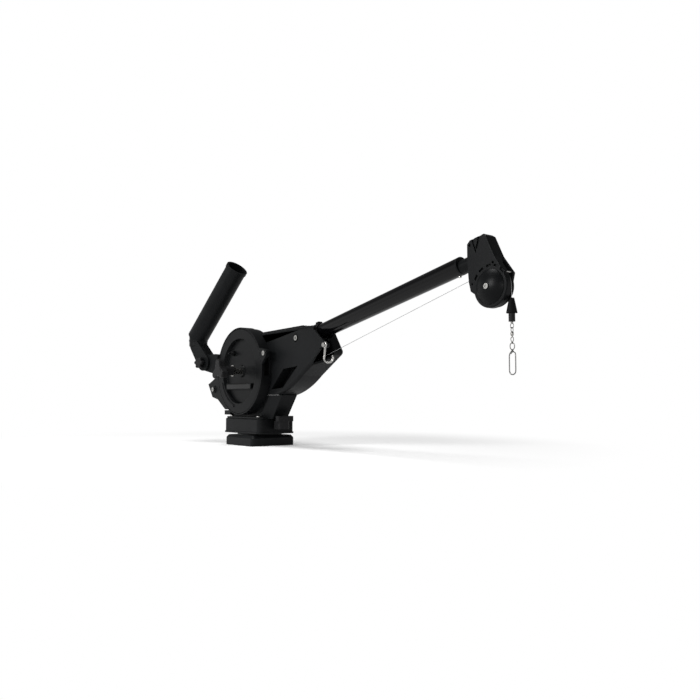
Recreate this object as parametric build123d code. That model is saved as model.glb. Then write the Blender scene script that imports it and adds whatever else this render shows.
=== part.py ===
from build123d import *
import math
import os

os.makedirs("parts", exist_ok=True)

# Electric fishing downrigger: a reel housing on a swivelling deck base, a boom with a pulley
# head, a thin steel cable with its bumper and snap, and a rod holder. Millimetres, +Z up, +X
# along the boom, -Y towards the reel cover. The origin is the middle of the deck plate's underside.

# Fits between pieces that move, and the gap between pieces that only lie close
running_gap = 0.05
moving_gap = 0.3

# Deck plate
plate_length = 122
plate_width = 116
plate_height = 24
plate_corner = 8
plate_bevel = 6
bolt_spacing_x = 90
bolt_spacing_y = 84
bolt_hole_radius = 3.4
bolt_sink_radius = 7

# Index hub that the swivel block turns on
hub_radius = 38
hub_foot_radius = 52
hub_foot_height = 3.7
hub_top = 54
notch_count = 16
notch_depth = 6

# Pivot bolt through hub and block
pivot_radius = 6
pivot_head_radius = 11
pivot_head_height = 6
pivot_washer_radius = 14
pivot_washer_thickness = 2
pivot_nut_radius = 9.5
pivot_nut_height = 8

# Swivel block
block_length = 158
block_width = 96
block_centre_x = -5
block_bottom = plate_height + hub_foot_height + moving_gap
block_height = 34
block_corner = 10
block_wall = 5
block_lip = 2
block_lip_height = 4
block_top = block_bottom + block_height
block_front_x = block_centre_x + block_length / 2

# Lock pull with its pin
pin_radius = 4
pin_height = 47
lock_travel = 6
pull_gap = lock_travel + 0.5
pull_width = 42
pull_thickness = 14
pull_flange_height = 12
pull_neck_width = 28
pull_top = 69

# Pedestal under the housing
side_half = 30
pedestal_top = 116
pedestal_wall = 4
pedestal_floor = 5
pedestal_back_x = -84
rear_tab_x = (-98, -70)
pedestal_foot_x = 86
pedestal_head_x = 126
pedestal_nose_half = 20
pedestal_bevel_length = 38
pedestal_flange_height = 4
pedestal_screw_x = (-65, 55)
pedestal_screw_y = 38

# Housing shells
shell_wall = 4
boss_radius = 100
shell_edge = 7
boss_inner_y = -16
seam_y = 0
nose = (289, 203)
front_top = (250, 262)
back_top = (-84, 255)
throat_middle = (167, 131)
throat_end = (212, 157)
throat_start_x = 120
window_depth = 24

# Reel, on an axis along Y
reel_x = -6
reel_z = 172.5
cover_radius = 99
ring_wall = 3
ring_radius = cover_radius + ring_wall
ring_depth = 24.7
ring_floor = 3
face_y = -55
dish_radius = 73
dish_depth = 9
cover_thickness = 3.4
right_ear = (105, 209)
left_ear = (-156, 131)
ear_radius = 9
rear_plate = ((-100, 190), (-128, 176), (-158, 156), (-187, 144), (-165, 112), (-137, 106), (-99.5, 82), (-70, 82),
              (-50, 110))
rear_plate_thickness = 6
ring_window_y = (-48, -35)
ring_window_z = (160, 201)
plate_label_length = 112
plate_label_x = -2.5
plate_label_height = 13
plate_label_inset = 0.5

# Spool, winding and shaft
shaft_radius = 6
spool_core_radius = 28
spool_flange_radius = 56
spool_flange_thickness = 3
spool_half = 22
winding_radius = 43
bearing_radius = 11
bearing_width = 5

# Drive
motor_angle = 235.2
motor_inset = 13.15
motor_distance = cover_radius - motor_inset
motor_x = reel_x + motor_distance * math.cos(math.radians(motor_angle))
motor_z = reel_z + motor_distance * math.sin(math.radians(motor_angle))
motor_radius = 25
motor_shaft_radius = 4
gear_thickness = 6
gear_teeth = 96
pinion_teeth = 14
mesh_gap = 0.45

# Clutch knob
knob_standoff = 41
knob_thickness = 16
knob_lobe_reach = 18
knob_lobe_radius = 8.5
knob_hub_radius = 11

# Boom
boom_start = (239.4, 0, 248.3)
boom_angle = 11.75
boom_radius = 16
boom_wall = 1.65
boom_exposed = 415
boom_hidden = 165
socket_radius = 19.3
collar_radius = 19.8
collar_length = 32
collar_end = 6
gland_length = 6
neck_radius = 12.5
neck_length = 70
neck_hidden = 25
neck_drop = 3.4
boom_bolt_radius = 4
boom_bolt_place = -47.4

# Cable, pulley and head
cable_radius = 0.45
pulley_x = 721
pulley_z = 287.5
pulley_groove_radius = 30.5
pulley_flange_radius = 32.4
pulley_half = 4
axle_radius = 3
axle_head_radius = 4.6
head_near_y = -15
head_far_y = 9
head_gap_half = 4.4
drum_radius = 34.5
far_drum_radius = 29.5
dome_radius = 29
dome_height = 9

# Pieces on the cable's end
drop_length = 20.5
swing_gap = 0.35
bumper_length = 24
bumper_top_radius = 4.2
bumper_foot_radius = 9
collar_foot_radius = 5.2
collar_foot_length = 13.5
snap_wire_radius = 0.9
snap_loop_height = 37
snap_loop_width = 12.4

# Rod holder, in a plane turned a little about Z
rod_pivot = (-156, -62, 197)
rod_turn = 12
rod_tilt = 41.9
rod_radius = 25.4
rod_wall = 3
rod_length = 218
rod_foot = (-39.5, 5, 65)
band_shift = 2.5
band_radius = 22.6
socket_height = 22
fork_half = 14
fork_thickness = 5
arm_half = 8.7
tilt_bolt_radius = 4

# Parking hook
hook_x = 303
hook_z = 217
hook_wire_radius = 2.1
hook_loop_radius = 10
hook_turn = 38


def slab(sketch, y_from, y_to):
    """A shape drawn in X and Z, made solid between two Y values."""
    return extrude(Plane.XZ.offset(-y_to) * sketch, y_to - y_from)


def disc_y(x, z, radius, y_from, y_to):
    """A round bar along Y."""
    return slab(Pos(x, z) * Circle(radius), y_from, y_to)


def outline(*points):
    """A closed polygon, drawn in X and Z."""
    return make_face(Polyline(*points, close=True))


def link(first, first_radius, second, second_radius):
    """The flat outline round two circles."""
    pair = (Pos(*first) * Circle(first_radius)).edges() + (Pos(*second) * Circle(second_radius)).edges()
    return make_hull(pair)


def hexagon_y(x, z, radius, y_from, y_to):
    """A nut or bolt head along Y."""
    return slab(Pos(x, z) * RegularPolygon(radius, 6), y_from, y_to)


def save(name, shape):
    """Write one piece to its own file."""
    export_step(shape, "parts/" + name + ".step")


boom_direction = (math.cos(math.radians(boom_angle)), 0, math.sin(math.radians(boom_angle)))
boom_frame = Plane(origin=boom_start, x_dir=(0, 1, 0), z_dir=boom_direction)


def boom_bar(radius, start, end):
    """A round bar on the boom's axis, between two distances from the housing."""
    return extrude(boom_frame.offset(start) * Circle(radius), end - start)


def boom_point(distance):
    """The point of the boom's axis at a distance from the housing."""
    return (boom_start[0] + distance * boom_direction[0], boom_start[2] + distance * boom_direction[2])


# Deck plate and what is fixed to it

def deck_plate():
    """Fixed plate, bolted to the deck through four sunk holes."""
    side = extrude(RectangleRounded(plate_length, plate_width, plate_corner), plate_height - plate_bevel)
    rim = Pos(0, 0, plate_height - plate_bevel) * RectangleRounded(plate_length, plate_width, plate_corner)
    body = side + extrude(rim, plate_bevel, taper=45)
    for x in (-bolt_spacing_x / 2, bolt_spacing_x / 2):
        for y in (-bolt_spacing_y / 2, bolt_spacing_y / 2):
            body -= Pos(x, y, plate_height / 2) * Cylinder(bolt_hole_radius, plate_height + 2)
            body -= Pos(x, y, plate_height) * Cylinder(bolt_sink_radius, 12)
    body -= Pos(0, 0, plate_height / 2) * Cylinder(pivot_radius, plate_height + 2)
    body -= Cylinder(pivot_head_radius, 2 * (pivot_head_height + 2))
    return body


def index_hub():
    """Round hub with a foot that carries the block, and pockets for the lock pin."""
    foot_top = plate_height + hub_foot_height
    body = Pos(0, 0, (plate_height + foot_top) / 2) * Cylinder(hub_foot_radius, hub_foot_height)
    body += Pos(0, 0, (plate_height + hub_top) / 2) * Cylinder(hub_radius, hub_top - plate_height)
    body -= Pos(0, 0, (plate_height + hub_top) / 2) * Cylinder(pivot_radius, hub_top)
    for number in range(notch_count):
        pocket = Pos(hub_radius, 0, pin_height) * Rot(0, 90, 0) * Cylinder(pin_radius + 0.3, 2 * notch_depth)
        body -= Rot(0, 0, number * 360 / notch_count) * pocket
    return body


pivot_top = block_top + moving_gap + pivot_washer_thickness + pivot_nut_height


def pivot_bolt():
    """Bolt up through plate, hub and block."""
    head = Pos(0, 0, 2 + pivot_head_height / 2) * Cylinder(pivot_head_radius - 0.5, pivot_head_height)
    shank = Pos(0, 0, 2 + (pivot_top + 1) / 2) * Cylinder(pivot_radius, pivot_top + 1)
    return head + shank


def pivot_washer():
    bottom = block_top + moving_gap
    ring = Cylinder(pivot_washer_radius, pivot_washer_thickness) - Cylinder(pivot_radius, 10)
    return Pos(0, 0, bottom + pivot_washer_thickness / 2) * ring


def pivot_nut():
    bottom = block_top + moving_gap + pivot_washer_thickness
    nut = extrude(RegularPolygon(pivot_nut_radius, 6), pivot_nut_height) - Cylinder(pivot_radius, 40)
    return Pos(0, 0, bottom) * nut


# Swivel block and its lock

def swivel_block():
    """Hollow block that turns on the hub; open below."""
    middle = Pos(block_centre_x, 0, block_bottom)
    body = extrude(RectangleRounded(block_length, block_width, block_corner), block_height)
    lip = RectangleRounded(block_length + 2 * block_lip, block_width + 2 * block_lip, block_corner + block_lip)
    body = fillet(body.edges().group_by(Axis.Z)[-1], 2.5) + extrude(lip, block_lip_height)
    room = RectangleRounded(block_length - 2 * block_wall, block_width - 2 * block_wall, block_corner - block_wall)
    body -= extrude(room, block_height - block_wall - 1)
    body = middle * body
    body -= Pos(0, 0, block_top) * Cylinder(pivot_radius + running_gap, 40)
    hole_length = 4 * block_wall
    body -= Pos(block_front_x, 0, pin_height) * Rot(0, 90, 0) * Cylinder(pin_radius + running_gap, hole_length)
    return body


def lock_pull():
    """Grip on a pin: pushed home it locks the swivel, drawn out it lets it turn."""
    start = block_front_x + pull_gap
    neck_low = pin_height - 8
    flange_low = pull_top - pull_flange_height
    neck = Pos(start + 13, 0, (neck_low + flange_low) / 2) * Box(26, pull_neck_width, flange_low - neck_low)
    neck = fillet(neck.edges().filter_by(Axis.Z), 5)
    flange_x = start + 18 + pull_thickness / 2
    flange = Pos(flange_x, 0, pull_top - pull_flange_height / 2) * Box(pull_thickness, pull_width, pull_flange_height)
    flange = fillet(flange.edges().filter_by(Axis.Z), 4)
    pin_start = hub_radius + 0.4
    pin_end = start + 1
    pin = Pos((pin_start + pin_end) / 2, 0, pin_height) * Rot(0, 90, 0) * Cylinder(pin_radius, pin_end - pin_start)
    return neck + flange + pin


# Pedestal

def pedestal_loft(low, high, inset):
    """Tapered body from the foot to the housing; inset gives its inside."""
    faces = []
    for level, front in ((low, pedestal_foot_x), (high, pedestal_head_x)):
        shoulder = front - pedestal_bevel_length
        half = side_half - inset
        tip = pedestal_nose_half - inset / 2
        back = pedestal_back_x + inset
        points = ((back, -half), (shoulder, -half), (front - inset, -tip), (front - inset, tip), (shoulder, half))
        faces.append(Pos(0, 0, level) * outline_flat(*points, (back, half)))
    return loft(Sketch(children=faces))


def outline_flat(*points):
    """A closed polygon in X and Y."""
    return make_face(Polyline(*points, close=True))


def pedestal():
    """Hollow stand between block and housing, open at its top."""
    body = pedestal_loft(block_top, pedestal_top, 0)
    flange = Pos(block_centre_x, 0, block_top) * RectangleRounded(block_length - 2, block_width - 6, block_corner)
    body += extrude(flange, pedestal_flange_height)
    tab_middle = (rear_tab_x[0] + rear_tab_x[1]) / 2
    tab_length = rear_tab_x[1] - rear_tab_x[0]
    body += Pos(tab_middle, -34, block_top + 12.75) * Box(tab_length, 12, 10.5)
    body -= pedestal_loft(block_top + pedestal_floor, pedestal_top + 0.01, pedestal_wall)
    body -= Pos(0, 0, block_top) * Cylinder(pivot_washer_radius + 2, 40)
    body -= disc_y(motor_x, motor_z, 8, -40, 0)
    for x in pedestal_screw_x:
        for y in (-pedestal_screw_y, pedestal_screw_y):
            body -= Pos(x, y, block_top) * Cylinder(2.5, 30)
    return body


def pedestal_screws():
    """Four cap screws that hold the pedestal to the block."""
    screws = []
    seat = block_top + pedestal_flange_height
    for x in pedestal_screw_x:
        for y in (-pedestal_screw_y, pedestal_screw_y):
            head = Pos(x, y, seat + 1.5) * Cylinder(4.5, 3)
            screws.append(head + Pos(x, y, seat - 1.9) * Cylinder(2.5, 4))
    return Compound(children=screws)


# Housing shells

def housing_face():
    """The housing's side view."""
    line = Polyline((back_top[0], pedestal_top), (throat_start_x, pedestal_top))
    throat = ThreePointArc((throat_start_x, pedestal_top), throat_middle, throat_end)
    rest = Polyline(throat_end, nose, front_top, back_top, (back_top[0], pedestal_top))
    face = make_face([line, throat, rest])
    corners = face.vertices()
    face = fillet(corners.sort_by_distance(Vertex(*nose))[0], 9)
    face = fillet(face.vertices().sort_by_distance(Vertex(*front_top))[0], 9)
    return fillet(face.vertices().sort_by_distance(Vertex(*back_top))[0], 30)


housing = housing_face()
housing_room = offset(housing, -shell_wall)
boom_cut = boom_bar(collar_radius + 0.3, collar_end - collar_length - 2, 60)
boom_cut += boom_bar(socket_radius + 0.3, -boom_hidden - 6, collar_end - collar_length + 1)
bolt_x, bolt_z = boom_point(boom_bolt_place)
room_floor = slab(outline((-80, 100), (throat_start_x - 2, 100), (throat_start_x - 2, 125), (-80, 125)), -26, 26)
shell_screw_places = ((-66, 236), (-66, 132), (120, 243), (150, 141), (232, 188))


def near_lug():
    """Front edge of the near side, drawn out to the lug that carries the parking hook."""
    return outline((246, 256), (262, 250), (277, 237), (299, 222), (309, 219), (309, 213), (299, 211),
                   (286, 213), (268, 208), (246, 190))


def near_notch():
    """Part of the near side that is cut back below the lug."""
    return outline((286, 213), (264, 196), (253, 184), (243, 170), (310, 170), (310, 209), (299, 211))


def window_outline(grow):
    """Slanted recess in the near side."""
    points = ((200 + grow, 178 + grow), (144 - grow, 173 + grow), (96 - grow, 129 - grow), (143 + grow, 132 - grow))
    return outline(*points)


def near_shell():
    """Near half: side wall, rim, reel boss, hook lug and recess."""
    inner = -side_half + shell_wall
    body = slab(housing, -side_half, seam_y)
    body = fillet(body.edges().filter_by(Plane.XZ).group_by(Axis.Y)[0], shell_edge)
    boss = disc_y(reel_x, reel_z, boss_radius, -side_half, boss_inner_y)
    boss -= slab(outline((-200, 0), (200, 0), (200, pedestal_top), (-200, pedestal_top)), -40, 0)
    body += boss
    boss_room = disc_y(reel_x, reel_z, boss_radius - shell_wall, inner, boss_inner_y - shell_wall)
    boss_room -= slab(outline((-200, 0), (200, 0), (200, pedestal_top + shell_wall),
                              (-200, pedestal_top + shell_wall)), -40, 0)
    body -= boss_room
    body -= slab(housing_room, inner, seam_y + 1)
    body -= room_floor
    mouth = make_face(Polyline((246, inner), (400, inner), (400, 1), (262, 1), close=True))
    body -= extrude(mouth, 400)
    body += slab(near_lug(), -side_half, inner)
    body -= slab(near_notch(), -side_half - 1, inner + 1)
    body += slab(window_outline(3), inner, inner + window_depth)
    body -= slab(window_outline(0), -side_half - 1, inner + window_depth - 3)
    body -= slab(outline((50, 253), (64, 234), (205, 255)), -side_half - 1, inner + 1)
    body -= boom_cut
    body -= disc_y(reel_x, reel_z, bearing_radius, -40, 0)
    body -= disc_y(motor_x, motor_z, 8, -40, 0)
    body -= disc_y(bolt_x, bolt_z, boom_bolt_radius, -40, 0)
    body -= disc_y(bolt_x, bolt_z, 9, -40, -side_half + 2)
    body -= disc_y(hook_x, hook_z, 2, -40, 0)
    return body


def far_shell():
    """Far half, with the front wall beside the cable mouth."""
    inner = side_half - shell_wall
    body = slab(housing, seam_y, side_half)
    body = fillet(body.edges().filter_by(Plane.XZ).group_by(Axis.Y)[-1], shell_edge)
    body -= slab(housing_room, seam_y - 1, inner)
    body -= room_floor
    mouth = make_face(Polyline((268, -1), (400, -1), (400, 5), (268, 5), close=True))
    body -= extrude(mouth, 400)
    body -= boom_cut
    body -= disc_y(reel_x, reel_z, bearing_radius, inner - 1, inner + 2)
    body -= disc_y(bolt_x, bolt_z, boom_bolt_radius, 0, 40)
    body -= disc_y(-60, 150, 9, 0, 40)
    for x, z in shell_screw_places:
        body -= disc_y(x, z, 2, inner - 1, 40)
    return body


def shell_screws():
    """Screws that draw the far half onto the near half."""
    screws = []
    for x, z in shell_screw_places:
        head = disc_y(x, z, 4, side_half, side_half + 2.5)
        screws.append(head + disc_y(x, z, 2, side_half - shell_wall - 6, side_half))
    return Compound(children=screws)


def roof(x):
    """Height of the shells' flat top."""
    slope = (front_top[1] - back_top[1]) / (front_top[0] - back_top[0])
    return back_top[1] + slope * (x - back_top[0])


def top_cap():
    """Ribbed cap along the top."""
    start, end = 24, 214
    points = ((start, roof(start)), (end, roof(end)), (end - 3, roof(end) + 3), (start + 3, roof(start) + 3))
    body = slab(outline(*points), -21, 21)
    for y in (-17.5, -10.5, -3.5, 3.5, 10.5, 17.5):
        low = ((start + 8, roof(start) + 2), (end - 8, roof(end) + 2), (end - 10, roof(end) + 4.5),
               (start + 10, roof(start) + 4.5))
        body += slab(outline(*low), y - 1.3, y + 1.3)
    return body - boom_cut - disc_y(reel_x, reel_z, boss_radius, -40, boss_inner_y)


def power_inlet():
    """Round socket for the power lead, in the far side."""
    body = disc_y(-60, 150, 9, side_half - shell_wall, side_half) + disc_y(-60, 150, 12, side_half, side_half + 3)
    body += disc_y(-60, 150, 8, side_half + 3, side_half + 14)
    return body - disc_y(-60, 150, 5.5, side_half + 2, side_half + 15)


# Reel side

def ear(place, reach):
    """Outline of one screw ear and its web."""
    angle = math.atan2(place[1] - reel_z, place[0] - reel_x)
    root = (reel_x + reach * math.cos(angle), reel_z + reach * math.sin(angle))
    return link(place, ear_radius, root, 30)


ring_back = -side_half - moving_gap
rear_seat = ring_back - 2 - rear_plate_thickness - 2


def reel_ring():
    """Dished ring on the near side, with two ears."""
    body = disc_y(reel_x, reel_z, ring_radius, face_y, ring_back)
    body += slab(ear(right_ear, 73), face_y, face_y + 9)
    body += slab(outline(*rear_plate), ring_back - 2 - rear_plate_thickness, ring_back - 2)
    body += disc_y(*left_ear, ear_radius, rear_seat, ring_back - 2)
    body -= disc_y(reel_x, reel_z, cover_radius + moving_gap, face_y - 1, ring_back - ring_floor)
    body -= disc_y(reel_x, reel_z, bearing_radius, -60, 0)
    body -= disc_y(motor_x, motor_z, 8, -60, 0)
    window_y = sum(ring_window_y) / 2
    window_z = sum(ring_window_z) / 2
    window_depth_y = ring_window_y[1] - ring_window_y[0]
    window_height = ring_window_z[1] - ring_window_z[0]
    body -= Pos(reel_x + ring_radius, window_y, window_z) * Box(24, window_depth_y, window_height)
    for x, z in (right_ear, left_ear):
        body -= disc_y(x, z, 3, -60, 0)
    return body


def cover_profile():
    """Half section of the cover, drawn as radius and depth."""
    back = -dish_depth - cover_thickness
    lip = -cover_thickness
    return ((7.5, -dish_depth + 3), (13, -dish_depth + 3), (15, -dish_depth), (dish_radius, -dish_depth),
            (dish_radius + 3, 0), (cover_radius - 1.2, 0), (cover_radius, -1.2), (cover_radius, lip),
            (dish_radius + 5, lip), (dish_radius + 2, back), (7.5, back))


def reel_cover():
    """Round cover with its dish."""
    frame = Plane(origin=(reel_x, face_y, reel_z), x_dir=(1, 0, 0), z_dir=(0, 0, 1))
    points = [(radius, -depth) for radius, depth in cover_profile()]
    profile = frame * make_face(Polyline(*points, close=True))
    axis = Axis((reel_x, face_y, reel_z), (0, 1, 0))
    body = revolve(profile, axis, 360)
    arc = Pos(reel_x, reel_z) * (Circle(dish_radius + 14) - Circle(dish_radius + 8))
    wedge = outline((reel_x, reel_z), (reel_x - 120, reel_z - 40), (reel_x - 120, reel_z - 120),
                    (reel_x - 30, reel_z - 120))
    return body + slab(arc & wedge, face_y - 1.4, face_y + 1)


def label_plate():
    """Blank name plate that stands on the dish's floor, nearly level with the rim."""
    place = Pos(reel_x + plate_label_x, reel_z - 36) * RectangleRounded(plate_label_length, plate_label_height, 2)
    return slab(place, face_y + plate_label_inset, face_y + dish_depth)


def ear_screws():
    """Two silver screws in the ring's ears."""
    screws = []
    for x, z, seat in ((*right_ear, face_y), (*left_ear, rear_seat)):
        head = disc_y(x, z, 5.5, seat - 3, seat) - slab(Pos(x, z) * Rectangle(9, 1.4), seat - 4, seat - 1.6)
        screws.append(head + disc_y(x, z, 3, seat, seat + 8))
    return Compound(children=screws)


def switch_boot():
    """Collar of the up and down switch."""
    place = (reel_x - 38, reel_z + 43)
    seat = face_y + dish_depth
    body = disc_y(*place, 6.5, seat - 3, seat)
    return body - disc_y(*place, 3.4, seat - 4, seat - 0.6)


def switch_lever():
    place = (reel_x - 38, reel_z + 43)
    seat = face_y + dish_depth - 1.4
    bar = disc_y(*place, 1.8, seat - 12, seat)
    pivot = Pos(place[0], seat - 1, place[1]) * Rot(0, 90, 0) * Cylinder(1.2, 5)
    return bar + pivot + Pos(place[0], seat - 12, place[1]) * Sphere(3)


# Spool, clutch and drive

def spool():
    """Two flanges on a core."""
    body = disc_y(reel_x, reel_z, spool_core_radius, -spool_half, spool_half)
    for start in (-spool_half, spool_half - spool_flange_thickness):
        body += disc_y(reel_x, reel_z, spool_flange_radius, start, start + spool_flange_thickness)
    return body - disc_y(reel_x, reel_z, shaft_radius, -30, 30)


def winding():
    """The cable wound on the spool, as one plain pack."""
    half = spool_half - spool_flange_thickness
    body = disc_y(reel_x, reel_z, winding_radius, -half, half)
    return body - disc_y(reel_x, reel_z, spool_core_radius, -30, 30)


shaft_near_y = face_y - knob_standoff - knob_thickness + 4


def spool_shaft():
    return disc_y(reel_x, reel_z, shaft_radius, shaft_near_y, side_half - shell_wall + 1.5)


def bearing(y_from, y_to):
    body = disc_y(reel_x, reel_z, bearing_radius, y_from, y_to)
    return body - disc_y(reel_x, reel_z, shaft_radius + running_gap, -60, 60)


gear_near = ring_back - ring_floor - 1 - gear_thickness
gear_distance = math.hypot(motor_x - reel_x, motor_z - reel_z)
tooth_module = 2 * (gear_distance - mesh_gap) / (gear_teeth + pinion_teeth)


def toothed(x, z, count, bore):
    """A spur gear with shallow teeth."""
    radius = tooth_module * count / 2
    depth = tooth_module * 1.1
    face = Pos(x, z) * Circle(radius - depth)
    tooth = Pos(radius - depth, 0) * Rectangle(2 * depth, tooth_module * 1.3)
    face += [Pos(x, z) * Rot(0, 0, number * 360 / count) * tooth for number in range(count)]
    return slab(face - Pos(x, z) * Circle(bore), gear_near, gear_near + gear_thickness)


def drive_gear():
    body = toothed(reel_x, reel_z, gear_teeth, shaft_radius + running_gap)
    for number in range(6):
        angle = math.radians(60 * number)
        body -= disc_y(reel_x + 45 * math.cos(angle), reel_z + 45 * math.sin(angle), 11, -60, 0)
    return body


def clutch_plate():
    """Friction disc on the shaft, pressed on the gear by the knob."""
    body = disc_y(reel_x, reel_z, 32, gear_near - moving_gap - 1.6, gear_near - moving_gap)
    return body - disc_y(reel_x, reel_z, shaft_radius, -60, 0)


def clutch_sleeve():
    """Sleeve and washer on the shaft, under the knob."""
    seat = gear_near - moving_gap - 1.6
    body = disc_y(reel_x, reel_z, 7.2, face_y - knob_standoff + 24, seat)
    body += disc_y(reel_x, reel_z, 13, face_y - knob_standoff + 24, face_y - knob_standoff + 26.5)
    return body - disc_y(reel_x, reel_z, shaft_radius, -100, 0)


def clutch_knob():
    """Three-lobed knob on the shaft's thread."""
    front = face_y - knob_standoff - knob_thickness
    face = Pos(reel_x, reel_z) * Circle(knob_hub_radius + 2)
    for number in range(3):
        angle = math.radians(92 + 120 * number)
        tip = (reel_x + knob_lobe_reach * math.cos(angle), reel_z + knob_lobe_reach * math.sin(angle))
        face += link(tip, knob_lobe_radius, (reel_x, reel_z), knob_hub_radius)
    lobes = slab(face, front, front + knob_thickness)
    lobes = fillet(lobes.edges().filter_by(Plane.XZ).group_by(Axis.Y)[0], 3)
    hub = disc_y(reel_x, reel_z, knob_hub_radius, front + 2, front + knob_thickness + 23.5)
    return lobes + hub - disc_y(reel_x, reel_z, shaft_radius + running_gap, front + 3.6, 0)


def motor():
    """Motor can with its end boss, screwed to the near side."""
    inner = side_half - shell_wall
    body = disc_y(motor_x, motor_z, motor_radius, -inner, inner - 3)
    body = fillet(body.edges().group_by(Axis.Y)[-1], 3)
    body += disc_y(motor_x, motor_z, 10, inner - 3, inner - 1)
    return body - disc_y(motor_x, motor_z, motor_shaft_radius + running_gap, -inner - 1, -inner + 20)


def motor_rotor():
    """Motor shaft with its pinion."""
    inner = side_half - shell_wall
    shaft = disc_y(motor_x, motor_z, motor_shaft_radius, gear_near, -inner + 19)
    return toothed(motor_x, motor_z, pinion_teeth, 1) + shaft


# Boom

def boom_socket():
    """Tube between the shells that holds the boom."""
    body = boom_bar(socket_radius, -boom_hidden - 4, collar_end - collar_length)
    body -= boom_bar(boom_radius, -boom_hidden, 10)
    return body - disc_y(bolt_x, bolt_z, boom_bolt_radius, -40, 40)


def boom_collar():
    """Clamp collar at the mouth of the socket, with a lug on top."""
    body = boom_bar(collar_radius, collar_end - collar_length, collar_end)
    body += boom_frame.offset(collar_end - 5) * Pos(0, collar_radius - 0.5, 0) * Box(10, 7, 10)
    return body - boom_bar(boom_radius, -80, 80)


def boom_gland():
    return boom_bar(collar_radius - 1.6, collar_end, collar_end + gland_length) - boom_bar(boom_radius, -80, 80)


def boom_tube():
    body = boom_bar(boom_radius, -boom_hidden, boom_exposed)
    body -= boom_bar(boom_radius - boom_wall, -boom_hidden - 1, boom_exposed + 1)
    return body - collar_screw() - disc_y(bolt_x, bolt_z, boom_bolt_radius, -40, 40)


neck_frame = Plane(boom_frame * Pos(0, -neck_drop, 0))


def neck_bar(radius, start, end):
    """A round bar on the neck's axis, which lies a little under the boom's."""
    return extrude(neck_frame.offset(start) * Circle(radius), end - start)


def end_collar():
    """Cap ring on the boom's outer end."""
    return boom_bar(boom_radius, boom_exposed, boom_exposed + 3) - neck_bar(neck_radius, 0, boom_exposed + 20)


def boom_neck():
    """Neck that joins the head to the boom."""
    body = neck_bar(neck_radius, boom_exposed, boom_exposed - neck_hidden + neck_length)
    inside = boom_bar(boom_radius - boom_wall, boom_exposed - neck_hidden, boom_exposed)
    return body + inside - collar_screw()


def collar_screw():
    """Small screw under the outer end of the boom."""
    place = boom_frame.offset(boom_exposed - 6) * Pos(0, -boom_radius - 0.6, 0) * Rot(90, 0, 0)
    return place * Cylinder(2.6, 3.4)


def boom_bolt():
    """Cross bolt through shells, socket and boom, with its nut."""
    head = disc_y(bolt_x, bolt_z, 5.8, -side_half - 1.5, -side_half + 2)
    head -= slab(Pos(bolt_x, bolt_z) * RegularPolygon(3, 6), -side_half - 2, -side_half)
    return head + disc_y(bolt_x, bolt_z, boom_bolt_radius, -side_half + 2, side_half + 6)


def boom_nut():
    body = hexagon_y(bolt_x, bolt_z, 7.5, side_half, side_half + 5)
    return body - disc_y(bolt_x, bolt_z, boom_bolt_radius, 0, 60)


# Head

def head_outline(drum, front_corner):
    """Side view of the head, with its drum's radius and front corner."""
    upper = outline((687, 279), (679, 284), (675, 300), (672, 335), (672, 364), (678, 370), (708, 376), (714, 372),
                    (731, 337), front_corner, (pulley_x + drum - 2, 290), (pulley_x + 20, 280))
    return upper + Pos(pulley_x, pulley_z) * Circle(drum)


keeper_x = 749
keeper_z = 309
keeper_radius = 1.4
neck_bore = neck_bar(neck_radius, boom_exposed + 2, boom_exposed - neck_hidden + neck_length)


def head_near():
    """Near half of the head, with its slots and flutes."""
    body = slab(head_outline(drum_radius, (750, 309)), head_near_y, -head_gap_half)
    body = fillet(body.edges().filter_by(Plane.XZ).group_by(Axis.Y)[0], 2)
    ring = Pos(pulley_x, pulley_z) * (Circle(drum_radius + 2) - Circle(drum_radius - 2))
    for middle in (44, 68, 94, 122, 148):
        low, high = math.radians(middle - 8), math.radians(middle + 8)
        wedge = outline((pulley_x, pulley_z), (pulley_x + 60 * math.cos(low), pulley_z + 60 * math.sin(low)),
                        (pulley_x + 60 * math.cos(high), pulley_z + 60 * math.sin(high)))
        body -= slab(ring & wedge, head_near_y - 1, head_near_y + 3)
    for x in (684, 701):
        flute = link((691.6, 349), 1.2, (x, 376), 3.4)
        body -= slab(flute, head_near_y - 1, head_near_y + 2.6)
    for x, z, radius in ((678.5, 361.5, 2.4), (727.5, 326, 2.2), (683.5, 296, 1.8)):
        body -= disc_y(x, z, radius, head_near_y - 1, head_near_y + 5)
    body -= neck_bore
    body -= disc_y(keeper_x, keeper_z, keeper_radius, -head_gap_half - 4, 20)
    return body - disc_y(pulley_x, pulley_z, axle_radius, -20, 20)


def head_far():
    """Far half of the head, with a bevelled drum."""
    body = slab(head_outline(far_drum_radius, (753, 308)), head_gap_half, head_far_y)
    cone = Plane.XZ.offset(-head_gap_half - 0.001) * Pos(pulley_x, pulley_z) * Circle(far_drum_radius)
    body += extrude(cone, -9, taper=30)
    body -= neck_bore
    body -= disc_y(keeper_x, keeper_z, keeper_radius, -20, 20)
    return body - disc_y(pulley_x, pulley_z, axle_radius, -20, 20)


def head_core():
    """Spacer between the halves, above the pulley."""
    points = ((672, 327), (672, 364), (678, 370), (708, 376), (714, 372), (731, 337), (736, 327))
    body = slab(outline(*points), -head_gap_half, head_gap_half)
    return body - neck_bore


def head_cover():
    """Domed cover on the near side of the head."""
    sphere_radius = (dome_radius ** 2 + dome_height ** 2) / (2 * dome_height)
    body = Pos(pulley_x, head_near_y - dome_height + sphere_radius, pulley_z) * Sphere(sphere_radius)
    body &= disc_y(pulley_x, pulley_z, dome_radius + 1, head_near_y - dome_height - 1, head_near_y)
    body -= disc_y(pulley_x, pulley_z, axle_head_radius, -40, head_near_y - dome_height + 0.8)
    return body - disc_y(pulley_x, pulley_z, axle_radius, -40, 0)


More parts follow.
